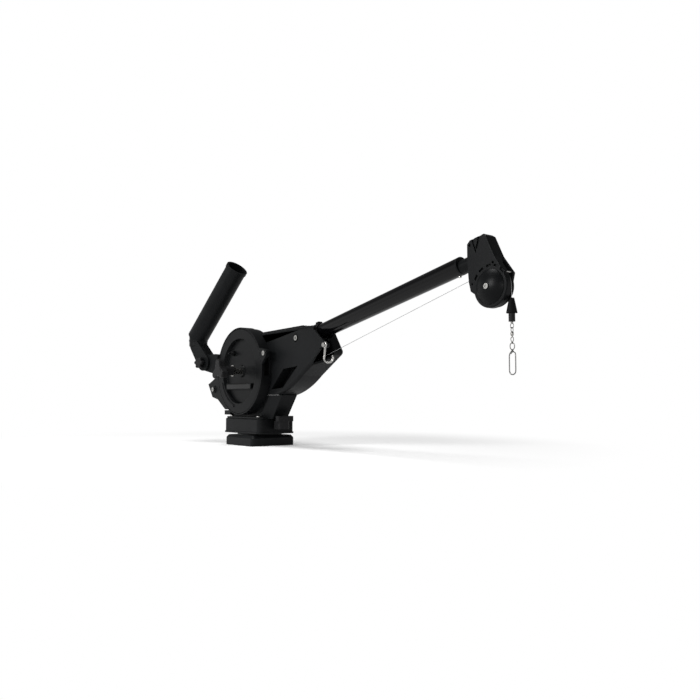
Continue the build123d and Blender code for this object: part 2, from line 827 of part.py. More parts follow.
def pulley():
    """Grooved wheel for the cable."""
    half = pulley_half
    points = ((axle_radius + running_gap, -half), (pulley_flange_radius, -half), (pulley_flange_radius, -half + 1),
              (pulley_groove_radius, -0.8), (pulley_groove_radius, 0.8), (pulley_flange_radius, half - 1),
              (pulley_flange_radius, half), (axle_radius + running_gap, half))
    frame = Plane(origin=(pulley_x, 0, pulley_z), x_dir=(1, 0, 0), z_dir=(0, 0, 1))
    body = revolve(frame * make_face(Polyline(*points, close=True)), Axis((pulley_x, 0, pulley_z), (0, 1, 0)), 360)
    for number in range(5):
        angle = math.radians(72 * number)
        body -= disc_y(pulley_x + 17 * math.cos(angle), pulley_z + 17 * math.sin(angle), 5.5, -10, 10)
    return body


def axle_screw():
    """Screw through the dome that the pulley turns on, with its end in the far half."""
    tip = head_near_y - dome_height
    head = disc_y(pulley_x, pulley_z, axle_head_radius, tip - 1.6, tip + 0.8)
    head -= slab(Pos(pulley_x, pulley_z) * RegularPolygon(2.4, 6), tip - 2, tip - 0.6)
    return head + disc_y(pulley_x, pulley_z, axle_radius, tip + 0.8, head_far_y + 5)


def keeper_pin():
    """Pin that keeps the cable in the pulley's groove."""
    return disc_y(keeper_x, keeper_z, keeper_radius, -head_gap_half - 4, head_far_y + 1)


# Cable

spool_run_radius = winding_radius + moving_gap + cable_radius
pulley_run_radius = pulley_groove_radius + moving_gap + cable_radius
centre_distance = math.hypot(pulley_x - reel_x, pulley_z - reel_z)
centre_angle = math.atan2(pulley_z - reel_z, pulley_x - reel_x)
run_angle = centre_angle + math.asin((spool_run_radius + pulley_run_radius) / centre_distance)
run_start = (reel_x + spool_run_radius * math.sin(run_angle), reel_z - spool_run_radius * math.cos(run_angle))
run_end = (pulley_x - pulley_run_radius * math.sin(run_angle), pulley_z + pulley_run_radius * math.cos(run_angle))
drop_x = pulley_x + pulley_run_radius
swing_z = pulley_z


def cable_run():
    """Taut cable from the spool, over the pulley."""
    straight = Line((run_start[0], 0, run_start[1]), (run_end[0], 0, run_end[1]))
    middle = (pulley_x + pulley_run_radius * math.cos(math.pi / 4 + run_angle / 2), 0,
              pulley_z + pulley_run_radius * math.sin(math.pi / 4 + run_angle / 2))
    over = ThreePointArc((run_end[0], 0, run_end[1]), middle, (drop_x, 0, pulley_z))
    path = Wire([straight, over])
    start = Plane(origin=path @ 0, z_dir=path % 0)
    return sweep(start * Circle(cable_radius), path)


def bar_z(radius, top, length):
    """A round bar that hangs at the cable's place."""
    return Pos(drop_x, 0, top - length / 2) * Cylinder(radius, length)


def cable_drop():
    """Short end of the cable, down to the bumper."""
    return bar_z(cable_radius, swing_z - swing_gap, drop_length - swing_gap)


bumper_top = swing_z - drop_length


def bumper():
    """Fluted cone that stops at the head."""
    body = Pos(drop_x, 0, bumper_top - bumper_length / 2) * Cone(bumper_foot_radius, bumper_top_radius, bumper_length)
    for number in range(6):
        flute = Pos(bumper_foot_radius + 0.8, 0, -bumper_length) * Cylinder(2.2, 2 * bumper_length - 14)
        body -= Pos(drop_x, 0, bumper_top) * Rot(0, 0, 60 * number + 30) * flute
    return body - bar_z(2.2, bumper_top - bumper_length + 4, 10)


stem_top = bumper_top - bumper_length


def bumper_stem():
    """Round stem under the cone."""
    return bar_z(collar_foot_radius, stem_top, collar_foot_length) + bar_z(2.2, stem_top + 4, 5)


crimp_bottom = stem_top - collar_foot_length - 4


def ring_wire(centre_z, height, width, wire, turn):
    """A closed loop of wire, taller than it is wide."""
    path = RectangleRounded(width, height, width / 2 - 0.01).wire()
    frame = Plane.XZ
    moved = Pos(drop_x, 0, centre_z) * Rot(0, 0, turn) * (frame * path)
    start = Plane(origin=moved @ 0, z_dir=moved % 0)
    return sweep(start * Circle(wire), moved)


def crimp_and_loop():
    """Crimp sleeve with the cable's eye below it."""
    sleeve = bar_z(2, stem_top - collar_foot_length, 4)
    return sleeve + ring_wire(crimp_bottom - 2.8, 7.6, 6, 0.6, 0)


swivel_top = crimp_bottom - 7.4


def barrel_swivel():
    """Upper eye and barrel, which stay with the cable."""
    body = ring_wire(swivel_top - 1.4, 7.2, 5, 0.6, 90)
    return body + bar_z(1.9, swivel_top - 4.6, 7)


snap_pin_top = swivel_top - 4.6 - 7 - 0.05


def snap():
    """Lower eye, linked loop and long snap, which spin under the barrel."""
    body = bar_z(1.5, snap_pin_top, 2.5)
    body += ring_wire(snap_pin_top - 5.2, 7, 5, 0.7, 0)
    body += bar_z(1.3, snap_pin_top - 8.2, 4)
    body += ring_wire(snap_pin_top - 16.2, 11, 8.6, snap_wire_radius, 0)
    body += bar_z(1.8, snap_pin_top - 20.8, 4.5)
    return body + ring_wire(snap_pin_top - 42, snap_loop_height, snap_loop_width, snap_wire_radius, 0)


# Rod holder

rod_frame = Location(rod_pivot, (0, 0, rod_turn))
tilt = math.radians(rod_tilt)
rod_direction = (math.sin(tilt), math.cos(tilt))


def rod_arm():
    """Arm from the ring out to the tilt bolt."""
    face = link((4, 0), 19, (44, -4), 24)
    body = rod_frame * slab(face, -arm_half, arm_half)
    body -= disc_y(reel_x, reel_z, ring_radius, -100, 0)
    body -= rod_frame * disc_y(0, 0, tilt_bolt_radius, -30, 30)
    return body.solids().sort_by(Axis.X)[0]


def rod_tube():
    """Tube with its elbow, band and fork."""
    foot_x, foot_y, foot_z = rod_foot
    frame = Plane(origin=rod_foot, x_dir=(0, 1, 0), z_dir=(rod_direction[0], 0, rod_direction[1]))
    body = extrude(frame * Circle(rod_radius), rod_length)
    body += extrude(frame.offset(rod_length - 8) * Circle(rod_radius + 1.4), 8)
    band = Pos(foot_x + band_shift, foot_y, foot_z)
    body += band * Sphere(band_radius)
    body += band * Pos(0, 0, -socket_height / 2) * Cylinder(band_radius, socket_height)
    body += band * Pos(0, 0, -8) * Cylinder(band_radius + 0.8, 4)
    for side in (-1, 1):
        middle = side * (fork_half - fork_thickness / 2)
        cheek = slab(link((5, 0), 20, (foot_x + 8, foot_z - socket_height + 2), 15),
                     middle - fork_thickness / 2, middle + fork_thickness / 2)
        body += cheek
    body -= extrude(frame.offset(4) * Circle(rod_radius - rod_wall), rod_length)
    body -= disc_y(0, 0, tilt_bolt_radius + running_gap, -30, 30)
    return rod_frame * body


def tilt_bolt():
    """Bolt through fork and arm, its head on the far side."""
    body = disc_y(0, 0, tilt_bolt_radius, -fork_half - 9, fork_half + moving_gap)
    body += hexagon_y(0, 0, 7, fork_half + moving_gap, fork_half + moving_gap + 4)
    return rod_frame * body


def tilt_knob():
    """Lobed knob that tightens the tilt."""
    face = Circle(11)
    face += [Rot(0, 0, 60 * number) * Pos(10.5, 0) * Circle(4) for number in range(6)]
    near = -fork_half - moving_gap
    body = slab(face, near - 12, near - 3)
    body = fillet(body.edges().filter_by(Plane.XZ).group_by(Axis.Y)[0], 2)
    body += disc_y(0, 0, 9, near - 3, near)
    return rod_frame * (body - disc_y(0, 0, tilt_bolt_radius + running_gap, near - 9.2, 0))


# Parking hook

def hook_pin():
    """Pin through the lug for the parking hook."""
    body = disc_y(hook_x, hook_z, 2, -side_half - 7.5, -side_half + shell_wall)
    return body + disc_y(hook_x, hook_z, 4.4, -side_half - 9, -side_half - 7)


def parking_hook():
    """Open hook of steel wire, with an eye on the pin."""
    y = -side_half - 4
    eye_radius = 2 + moving_gap + hook_wire_radius
    eye = Pos(hook_x, y, hook_z) * Rot(90, 0, 0) * Torus(eye_radius, hook_wire_radius)
    low = (hook_x + 1, y, hook_z - eye_radius - 0.5)
    shank = Line(low, (hook_x - 1, y, hook_z - 23))
    top = hook_z - 23
    centre = hook_loop_radius * 0.95
    bend = ThreePointArc((0, 0, 0), (centre, 0, -hook_loop_radius * 1.3), (centre * 1.75, 0, hook_loop_radius * 0.1))
    bend = Pos(hook_x - 1, y, top) * Rot(0, 0, hook_turn) * bend
    return eye + wire_bar(shank) + wire_bar(bend) + Pos(*(bend @ 0)) * Sphere(hook_wire_radius)


def wire_bar(edge):
    """A round wire along one edge."""
    start = Plane(origin=edge @ 0, z_dir=edge % 0)
    return sweep(start * Circle(hook_wire_radius), Wire([edge]))


save("deck_plate", deck_plate())
save("index_hub", index_hub())
save("pivot_bolt", pivot_bolt())
save("pivot_washer", pivot_washer())
save("pivot_nut", pivot_nut())
save("swivel_block", swivel_block())
save("lock_pull", lock_pull())
save("pedestal", pedestal())
save("pedestal_screws", pedestal_screws())
save("housing_near_shell", near_shell())
save("housing_far_shell", far_shell())
save("housing_screws", shell_screws())
save("top_cap", top_cap())
save("power_inlet", power_inlet())
save("reel_ring", reel_ring())
save("reel_cover", reel_cover())
save("label_plate", label_plate())
save("ear_screws", ear_screws())
save("switch_boot", switch_boot())
save("switch_lever", switch_lever())
save("spool", spool())
save("cable_winding", winding())
save("spool_shaft", spool_shaft())
save("near_bearing", bearing(ring_back - ring_floor, -side_half + shell_wall))
save("far_bearing", bearing(side_half - shell_wall - bearing_width + 2, side_half - shell_wall + 2))
save("drive_gear", drive_gear())
save("clutch_plate", clutch_plate())
save("clutch_sleeve", clutch_sleeve())
save("clutch_knob", clutch_knob())
save("motor", motor())
save("motor_pinion", motor_rotor())
save("boom_socket", boom_socket())
save("boom_collar", boom_collar())
save("boom_gland", boom_gland())
save("boom_tube", boom_tube())
save("boom_end_collar", end_collar())
save("boom_neck", boom_neck())
save("boom_end_screw", collar_screw())
save("boom_bolt", boom_bolt())
save("boom_nut", boom_nut())
save("head_near_half", head_near())
save("head_far_half", head_far())
save("head_core", head_core())
save("head_cover", head_cover())
save("head_pulley", pulley())
save("pulley_axle_screw", axle_screw())
save("cable_keeper_pin", keeper_pin())
save("cable_run", cable_run())
save("cable_drop", cable_drop())
save("bumper_cone", bumper())
save("bumper_stem", bumper_stem())
save("crimp_and_loop", crimp_and_loop())
save("barrel_swivel", barrel_swivel())
save("snap", snap())
save("rod_holder_arm", rod_arm())
save("rod_holder_tube", rod_tube())
save("rod_holder_bolt", tilt_bolt())
save("rod_holder_knob", tilt_knob())
save("parking_hook", parking_hook())
save("parking_hook_pin", hook_pin())
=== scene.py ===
import math

import bmesh
import bpy
from mathutils import Matrix, Vector


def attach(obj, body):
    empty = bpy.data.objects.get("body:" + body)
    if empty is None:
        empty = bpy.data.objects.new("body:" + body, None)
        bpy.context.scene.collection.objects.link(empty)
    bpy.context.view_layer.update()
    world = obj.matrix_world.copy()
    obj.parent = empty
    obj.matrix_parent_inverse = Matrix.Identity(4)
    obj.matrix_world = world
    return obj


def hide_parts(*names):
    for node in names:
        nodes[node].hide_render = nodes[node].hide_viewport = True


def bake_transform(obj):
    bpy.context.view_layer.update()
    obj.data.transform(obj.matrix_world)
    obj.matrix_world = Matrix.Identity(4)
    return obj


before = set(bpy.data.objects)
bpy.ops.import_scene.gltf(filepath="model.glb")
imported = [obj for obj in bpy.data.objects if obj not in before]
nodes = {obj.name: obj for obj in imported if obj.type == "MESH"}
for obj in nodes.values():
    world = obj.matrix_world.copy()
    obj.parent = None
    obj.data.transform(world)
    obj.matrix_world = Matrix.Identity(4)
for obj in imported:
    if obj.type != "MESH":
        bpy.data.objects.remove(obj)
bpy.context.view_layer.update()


# The photographer's camera: a little above the deck, on the reel cover's side and out beyond
# the head, about 1.5 m from the middle of the object.
camera_place = Vector((1.4873, -0.9132, 0.1081))
camera_turn = math.radians(51.424)
camera_tilt = math.radians(-3.817)
camera_back = Vector((math.sin(camera_turn) * math.cos(camera_tilt),
                      -math.cos(camera_turn) * math.cos(camera_tilt), math.sin(camera_tilt)))
camera_right = Vector((math.cos(camera_turn), math.sin(camera_turn), 0))
camera_up = camera_back.cross(camera_right)
camera_data = bpy.data.cameras.new("camera")
sensor_width = 36
picture_width = 700
focal_length_in_pixels = 728.41
camera_data.sensor_width = sensor_width
camera_data.lens = sensor_width * focal_length_in_pixels / picture_width
camera = bpy.data.objects.new("camera", camera_data)
camera.matrix_world = Matrix.Translation(camera_place) @ Matrix(
    (camera_right, camera_up, camera_back)).transposed().to_4x4()
bpy.context.scene.collection.objects.link(camera)
bpy.context.scene.camera = camera
bpy.context.scene.view_settings.view_transform = "Standard"


def colour(hex_code):
    """An sRGB hex colour as the linear values that a shader takes."""
    values = [int(hex_code[place:place + 2], 16) / 255 for place in (1, 3, 5)]
    return [value / 12.92 if value <= 0.04045 else ((value + 0.055) / 1.055) ** 2.4 for value in values] + [1]


def add_node(tree, kind, settings=(), links=()):
    """One shader node: settings are input or property values, links are (input, node, output)."""
    node = tree.nodes.new(kind)
    for name, value in dict(settings).items():
        if name in node.inputs:
            node.inputs[name].default_value = value
        else:
            setattr(node, name, value)
    for name, source, output in links:
        tree.links.new(source.outputs[output], node.inputs[name])
    return node


def new_material(name):
    """An empty node material with its surface shader, and where to plug things in."""
    material = bpy.data.materials.new(name)
    material.use_nodes = True
    tree = material.node_tree
    return material, tree, tree.nodes["Principled BSDF"]


def paint(material, *names):
    """Give a material to CAD nodes."""
    for name in names:
        mesh = nodes[name].data
        mesh.materials.clear()
        mesh.materials.append(material)


def add_piece(name, mesh, material, body):
    """A new piece from a mesh, with its finish, on the body that carries it, if one does."""
    piece = bpy.data.objects.new(name, mesh)
    bpy.context.scene.collection.objects.link(piece)
    mesh.materials.append(material)
    if body:
        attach(piece, body)
    return piece


# Steel cable, 0.9 mm thick and twisted from fine bright wires. It runs taut from under the
# spool, out of the housing's mouth and over the pulley, where its hanging end starts.
spool_axis = Vector((-0.006, 0, 0.1725))
pulley_axis = Vector((0.721, 0, 0.2875))
cable_thickness = 0.0009
spool_run_radius = 0.04375
pulley_run_radius = 0.03125
axes = pulley_axis - spool_axis
run_slope = math.atan2(axes.z, axes.x) + math.asin((spool_run_radius + pulley_run_radius) / axes.length)
along_run = Vector((math.cos(run_slope), 0, math.sin(run_slope)))
above_run = Vector((-math.sin(run_slope), 0, math.cos(run_slope)))
run_start = spool_axis - above_run * spool_run_radius
run_end = pulley_axis + above_run * pulley_run_radius
half_turn = (math.pi / 2 + run_slope) / 4
corner_reach = pulley_run_radius * math.tan(half_turn)
cable_end = pulley_axis + Vector((pulley_run_radius, 0, 0))
first_bend = 0.3
last_bend = 0.0054
cable_route = [run_start, run_start + along_run * first_bend, run_end - along_run * last_bend,
               run_end + along_run * corner_reach,
               cable_end + Vector((0, 0, corner_reach)), cable_end]

cable_steel, tree, shader = new_material("twisted stainless cable")
shader.inputs["Base Color"].default_value = colour("#A4A5A6")
shader.inputs["Metallic"].default_value = 1
shader.inputs["Roughness"].default_value = 0.3
place = add_node(tree, "ShaderNodeTexCoord")
strands = add_node(tree, "ShaderNodeTexWave", {"Scale": 500, "bands_direction": "DIAGONAL"},
                   [("Vector", place, "Object")])
relief = add_node(tree, "ShaderNodeBump", {"Strength": 0.5, "Distance": 0.0001}, [("Height", strands, "Fac")])
tree.links.new(relief.outputs["Normal"], shader.inputs["Normal"])


def add_cable(name, route, thickness, body):
    """A cable on a smooth line through its route, as thick as the real one."""
    line = bpy.data.curves.new(name, "CURVE")
    line.dimensions = "3D"
    spline = line.splines.new("NURBS")
    spline.points.add(len(route) - 1)
    for point, position in zip(spline.points, route):
        point.co = (*position, 1)
    spline.order_u = 3
    spline.use_endpoint_u = True
    line.bevel_depth = thickness / 2
    line.bevel_resolution = 3
    line.resolution_u = 24
    line.use_fill_caps = True
    return add_piece(name, line, cable_steel, body)


cable = add_cable("downrigger_cable", cable_route, cable_thickness, "upper")
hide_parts("cable_run")
drop_length = 0.0205
drop_middle = 0.01
drop_route = [cable_end, cable_end - Vector((0, 0, drop_middle)), cable_end - Vector((0, 0, drop_length))]
drop = add_cable("downrigger_cable_drop", drop_route, cable_thickness, "cable_end")
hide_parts("cable_drop")


# Moulded parts: glass-filled nylon, black all through, with the fine grain that an etched
# mould leaves. It looks dark grey where light grazes it.
def moulded_nylon(name, hex_code, roughness, grain, depth, shine=0.07):
    """Black nylon; grain is the mould texture's size in metres and depth its height."""
    material, tree, shader = new_material(name)
    place = add_node(tree, "ShaderNodeTexCoord")
    cloud = add_node(tree, "ShaderNodeTexNoise", {"Scale": 18, "Detail": 3}, [("Vector", place, "Object")])
    shade = add_node(tree, "ShaderNodeValToRGB", links=[("Fac", cloud, "Fac")])
    base = colour(hex_code)[:3]
    for element, position, share in zip(shade.color_ramp.elements, (0.3, 0.7), (0.82, 1.2)):
        element.position = position
        element.color = [value * share for value in base] + [1]
    tree.links.new(shade.outputs["Color"], shader.inputs["Base Color"])
    spread = add_node(tree, "ShaderNodeMapRange", {"To Min": roughness - 0.06, "To Max": roughness + 0.06},
                      [("Value", cloud, "Fac")])
    tree.links.new(spread.outputs["Result"], shader.inputs["Roughness"])
    shader.inputs["IOR"].default_value = 1.5
    shader.inputs["Specular IOR Level"].default_value = shine
    texture = add_node(tree, "ShaderNodeTexNoise", {"Scale": 1 / grain, "Detail": 2},
                       [("Vector", place, "Object")])
    rounded = add_node(tree, "ShaderNodeBevel", {"Radius": 0.0012, "samples": 4})
    relief = add_node(tree, "ShaderNodeBump", {"Strength": 0.22, "Distance": depth},
                      [("Height", texture, "Fac"), ("Normal", rounded, "Normal")])
    tree.links.new(relief.outputs["Normal"], shader.inputs["Normal"])
    return material


housing_nylon = moulded_nylon("grained black nylon", "#121314", 0.40, 0.0012, 0.0004)
grip_nylon = moulded_nylon("matt black nylon", "#1A1A1B", 0.46, 0.0010, 0.0004, 0.12)
cover_nylon = moulded_nylon("satin black nylon", "#0D0E0F", 0.33, 0.0016, 0.0002)
fitting_nylon = moulded_nylon("smooth black nylon", "#0F1011", 0.36, 0.0014, 0.0002)
bumper_rubber = moulded_nylon("matt black rubber", "#111112", 0.58, 0.0009, 0.0004)
base_paint = moulded_nylon("satin black paint", "#151617", 0.40, 0.0011, 0.0003)
paint(housing_nylon, "swivel_block", "pedestal", "housing_near_shell", "housing_far_shell", "top_cap",
      "reel_ring", "head_near_half", "head_far_half", "head_core", "rod_holder_arm", "rod_holder_tube")
paint(grip_nylon, "lock_pull", "clutch_knob", "rod_holder_knob", "bumper_stem", "boom_gland")
paint(cover_nylon, "reel_cover", "head_cover")
paint(fitting_nylon, "power_inlet", "switch_boot", "switch_lever", "boom_socket", "boom_collar",
      "boom_end_collar", "boom_neck", "head_pulley", "label_plate")
paint(bumper_rubber, "bumper_cone", "clutch_plate")
paint(base_paint, "deck_plate", "index_hub")


# Boom: a drawn aluminium tube, black anodised and polished, so that it carries one long
# bright reflection of the lamps along its upper side.
boom_anodised, tree, shader = new_material("black anodised aluminium")
shader.inputs["Base Color"].default_value = colour("#060607")
shader.inputs["Roughness"].default_value = 0.13
shader.inputs["IOR"].default_value = 1.6
shader.inputs["Specular IOR Level"].default_value = 0.12
place = add_node(tree, "ShaderNodeTexCoord")
lines = add_node(tree, "ShaderNodeMapping", {"Scale": (4, 300, 300)}, [("Vector", place, "Object")])
draw_marks = add_node(tree, "ShaderNodeTexNoise", {"Scale": 1, "Detail": 2}, [("Vector", lines, "Vector")])
relief = add_node(tree, "ShaderNodeBump", {"Strength": 0.08, "Distance": 0.0002},
                  [("Height", draw_marks, "Fac")])
tree.links.new(relief.outputs["Normal"], shader.inputs["Normal"])
paint(boom_anodised, "boom_tube")


# Fasteners, hook and snap: stainless steel, turned or drawn and left bright, with the fine
# lines of the tool.
def bare_metal(name, hex_code, roughness, line_spacing):
    """Bright metal with tool lines a given distance apart, in metres."""
    material, tree, shader = new_material(name)
    shader.inputs["Base Color"].default_value = colour(hex_code)
    shader.inputs["Metallic"].default_value = 1
    place = add_node(tree, "ShaderNodeTexCoord")
    marks = add_node(tree, "ShaderNodeTexNoise", {"Scale": 1 / line_spacing, "Detail": 3},
                     [("Vector", place, "Object")])
    spread = add_node(tree, "ShaderNodeMapRange", {"To Min": roughness - 0.08, "To Max": roughness + 0.1},
                      [("Value", marks, "Fac")])
    tree.links.new(spread.outputs["Result"], shader.inputs["Roughness"])
    relief = add_node(tree, "ShaderNodeBump", {"Strength": 0.12, "Distance": 0.0001},
                      [("Height", marks, "Fac")])
    tree.links.new(relief.outputs["Normal"], shader.inputs["Normal"])
    return material


stainless = bare_metal("stainless steel", "#9B9A97", 0.24, 0.0008)
wire_steel = bare_metal("drawn stainless wire", "#767674", 0.24, 0.0005)
gear_steel = bare_metal("machined steel", "#A3A19C", 0.36, 0.0012)
spool_aluminium = bare_metal("turned aluminium", "#C9CACB", 0.33, 0.0015)
paint(stainless, "pivot_bolt", "pivot_washer", "pivot_nut", "pedestal_screws", "housing_screws", "ear_screws",
      "boom_bolt", "boom_nut", "boom_end_screw", "pulley_axle_screw", "cable_keeper_pin", "rod_holder_bolt",
      "parking_hook", "parking_hook_pin", "clutch_sleeve", "spool_shaft", "near_bearing", "far_bearing",
      "cable_winding")
paint(wire_steel, "crimp_and_loop", "barrel_swivel", "snap")
paint(gear_steel, "drive_gear", "motor_pinion", "motor")
paint(spool_aluminium, "spool")


def turned(name, centre, axis, profile, material, body, steps=96, closed=False):
    """A piece turned round an axis from (radius, height) or (radius, height, 6 for a hexagon) points."""
    mesh = bpy.data.meshes.new(name)
    form = bmesh.new()
    turn = Vector((0, 0, 1)).rotation_difference(Vector(axis)).to_matrix()
    rings = []
    for radius, height, *corners in profile:
        ring = []
        for step in range(steps):
            angle = math.tau * step / steps
            reach = radius
            if corners:
                reach = radius * math.cos(math.pi / 6) / math.cos((angle % (math.pi / 3)) - math.pi / 6)
            local = Vector((reach * math.cos(angle), reach * math.sin(angle), height))
            ring.append(form.verts.new(Vector(centre) + turn @ local))
        rings.append(ring)
    pairs = list(zip(rings, rings[1:])) + ([(rings[-1], rings[0])] if closed else [])
    for first, second in pairs:
        for step in range(steps):
            after = (step + 1) % steps
            form.faces.new((first[step], first[after], second[after], second[step])).smooth = True
    if not closed:
        form.faces.new(rings[0][::-1])
        form.faces.new(rings[-1])
    bmesh.ops.recalc_face_normals(form, faces=form.faces)
    form.to_mesh(mesh)
    form.free()
    mesh.set_sharp_from_angle(angle=math.radians(32))
    return add_piece(name, mesh, material, body)


# Cable on the spool: the same steel cable in close turns, 40 across the drum, seen only
# through the cable's mouth. It is turned as one ridged body, one ridge for each turn.
turn_count = 40
winding_half_width = 0.019
winding_radius = 0.0425
drum_radius = 0.02805
ridge_steps = 7
turn_radius = winding_half_width / turn_count
ridges = []
for number in range(turn_count):
    middle = -winding_half_width + turn_radius * (2 * number + 1)
    for part in range(ridge_steps):
        angle = math.pi * part / ridge_steps
        ridges.append((winding_radius + turn_radius * math.sin(angle), middle - turn_radius * math.cos(angle)))
inner_side = [(drum_radius, winding_half_width), (drum_radius, -winding_half_width)]
winding = turned("wound_cable", spool_axis, (0, 1, 0), ridges + inner_side,
                 cable_steel, "spool", steps=120, closed=True)
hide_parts("cable_winding")


# Screws: stainless cap screws with a rounded head and a hexagon socket. Five close the
# housing from the far side and four hold the pedestal on the block.
def cap_screw(name, seat, axis, head_radius, head_height, shank_radius, shank_length, body):
    """One screw, its head standing on the seat along the axis."""
    socket = head_radius * 0.48
    point_length = 0.0006
    profile = [(shank_radius * 0.7, -shank_length), (shank_radius, -shank_length + point_length),
               (shank_radius, 0), (head_radius, 0), (head_radius, head_height * 0.55),
               (head_radius * 0.93, head_height * 0.82), (head_radius * 0.75, head_height),
               (socket * 1.25, head_height), (socket, head_height * 0.93, 6),
               (socket * 0.96, head_height * 0.3, 6), (socket * 0.3, head_height * 0.22)]
    return turned(name, seat, axis, profile, stainless, body, steps=48)


housing_face = 0.03
housing_screw_places = ((-0.066, 0.236), (-0.066, 0.132), (0.12, 0.243), (0.15, 0.141), (0.232, 0.188))
for number, (x, z) in enumerate(housing_screw_places):
    screw = cap_screw("housing_screw_%d" % (number + 1), (x, housing_face, z), (0, 1, 0),
                      0.004, 0.0025, 0.002, 0.01, "upper")
    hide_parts("housing_screws")
pedestal_foot = 0.066
pedestal_screw_places = ((-0.065, -0.038), (0.055, -0.038), (-0.065, 0.038), (0.055, 0.038))
for number, (x, y) in enumerate(pedestal_screw_places):
    screw = cap_screw("pedestal_screw_%d" % (number + 1), (x, y, pedestal_foot), (0, 0, 1),
                      0.0045, 0.003, 0.0025, 0.0038, "upper")
    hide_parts("pedestal_screws")


# Switch boot: a soft rubber bellows over the up and down lever.
switch_place = Vector((-0.044, -0.049, 0.2155))
folds = [(0.0019, 0.0001), (0.0060, 0.0001), (0.0061, 0.0010), (0.0052, 0.0016), (0.0050, 0.0022),
         (0.0056, 0.0029), (0.0055, 0.0034), (0.0044, 0.0040), (0.0043, 0.0045), (0.0048, 0.0051),
         (0.0046, 0.0056), (0.0035, 0.0062), (0.0033, 0.0072), (0.0030, 0.0078), (0.0019, 0.0078)]
bellows = turned("switch_bellows", switch_place, (0, -1, 0), folds, bumper_rubber, None,
                 steps=48, closed=True)
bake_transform(bellows)


# Gland behind the clamp collar: three moulded ribs that keep spray out of the boom socket.
boom_start = Vector((0.2394, 0, 0.2483))
boom_slope = math.radians(11.75)
along_boom = Vector((math.cos(boom_slope), 0, math.sin(boom_slope)))
first_rib = 0.0072
rib_spacing = 0.0019
for number in range(3):
    base = first_rib + rib_spacing * number
    rib = [(0.0180, base), (0.0188, base + 0.0002), (0.0190, base + 0.0005), (0.0188, base + 0.0008),
           (0.0180, base + 0.0010)]
    turned("gland_rib_%d" % (number + 1), boom_start, along_boom, rib, grip_nylon, "upper",
           closed=True)


# Strip on the name plate: thin gloss polycarbonate with round corners, stuck to the raised bar.
gloss_strip, tree, shader = new_material("gloss black polycarbonate")
shader.inputs["Base Color"].default_value = colour("#0C0C0D")
shader.inputs["Roughness"].default_value = 0.18
shader.inputs["IOR"].default_value = 1.58
shader.inputs["Specular IOR Level"].default_value = 0.15
place = add_node(tree, "ShaderNodeTexCoord")
wipe_marks = add_node(tree, "ShaderNodeTexNoise", {"Scale": 260, "Detail": 2}, [("Vector", place, "Object")])
relief = add_node(tree, "ShaderNodeBump", {"Strength": 0.05, "Distance": 0.0001},
                  [("Height", wipe_marks, "Fac")])
tree.links.new(relief.outputs["Normal"], shader.inputs["Normal"])
strip_mesh = bpy.data.meshes.new("name_strip")
form = bmesh.new()
strip_x = -0.0085
strip_z = 0.1365
strip_half_length = 0.0535
strip_half_height = 0.0048
strip_corner = 0.0016
corner_reach_x = strip_half_length - strip_corner
corner_reach_z = strip_half_height - strip_corner
edge = []
for x_side, z_side, turn in ((1, 1, 0), (-1, 1, 90), (-1, -1, 180), (1, -1, 270)):
    for part in range(5):
        angle = math.radians(turn + 22.5 * part)
        edge.append((strip_x + x_side * corner_reach_x + strip_corner * math.cos(angle),
                     strip_z + z_side * corner_reach_z + strip_corner * math.sin(angle)))
layers = []
for y, shrink in ((-0.0544, 0), (-0.0547, 0), (-0.0549, 0.0003)):
    layers.append([form.verts.new((x - shrink * math.copysign(1, x - strip_x), y,
                                   z - shrink * math.copysign(1, z - strip_z))) for x, z in edge])
for first, second in zip(layers, layers[1:]):
    for step in range(len(edge)):
        after = (step + 1) % len(edge)
        form.faces.new((first[step], second[step], second[after], first[after]))
form.faces.new(layers[0])
form.faces.new(layers[-1][::-1])
bmesh.ops.recalc_face_normals(form, faces=form.faces)
form.to_mesh(strip_mesh)
form.free()
add_piece("name_strip", strip_mesh, gloss_strip, "upper")


# Snap: hard stainless wire. A long loop, 1.9 mm thick, ends in a hook that latches on its own
# side, and a short wrap of thinner wire closes each eye on its stem.
def bent_wire(name, route, thickness, body, ring=False):
    """Round wire on a smooth line through its route; a ring is closed on itself."""
    line = bpy.data.curves.new(name, "CURVE")
    line.dimensions = "3D"
    spline = line.splines.new("NURBS")
    spline.points.add(len(route) - 1)
    for point, position in zip(spline.points, route):
        point.co = (*position, 1)
    spline.order_u = 4
    spline.use_cyclic_u = ring
    spline.use_endpoint_u = not ring
    line.bevel_depth = thickness / 2
    line.bevel_resolution = 4
    line.resolution_u = 12
    line.use_fill_caps = True
    return add_piece(name, line, wire_steel, body)


snap_x = cable_end.x
loop_left = snap_x - 0.0062
loop_right = snap_x + 0.0062
long_loop = [(snap_x - 0.0004, 0, 0.1850), (snap_x - 0.0012, 0, 0.1825),
             (loop_left, 0, 0.1790), (loop_left, 0, 0.1720), (loop_left, 0, 0.1640),
             (loop_left, 0, 0.1540), (loop_left, 0, 0.1495), (snap_x - 0.0035, 0, 0.1462),
             (snap_x, 0, 0.1455), (snap_x + 0.0035, 0, 0.1462), (loop_right, 0, 0.1495),
             (loop_right, 0, 0.1540), (loop_right, 0, 0.1640), (loop_right, 0, 0.1740), (loop_right, 0, 0.1785),
             (snap_x + 0.0035, 0.0006, 0.1812), (snap_x, 0.0016, 0.1822), (snap_x - 0.0030, 0.0018, 0.1810),
             (snap_x - 0.0046, 0.0016, 0.1785)]
snap_loop = bent_wire("snap_long_loop", long_loop, 0.0019, "snap")
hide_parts("snap")


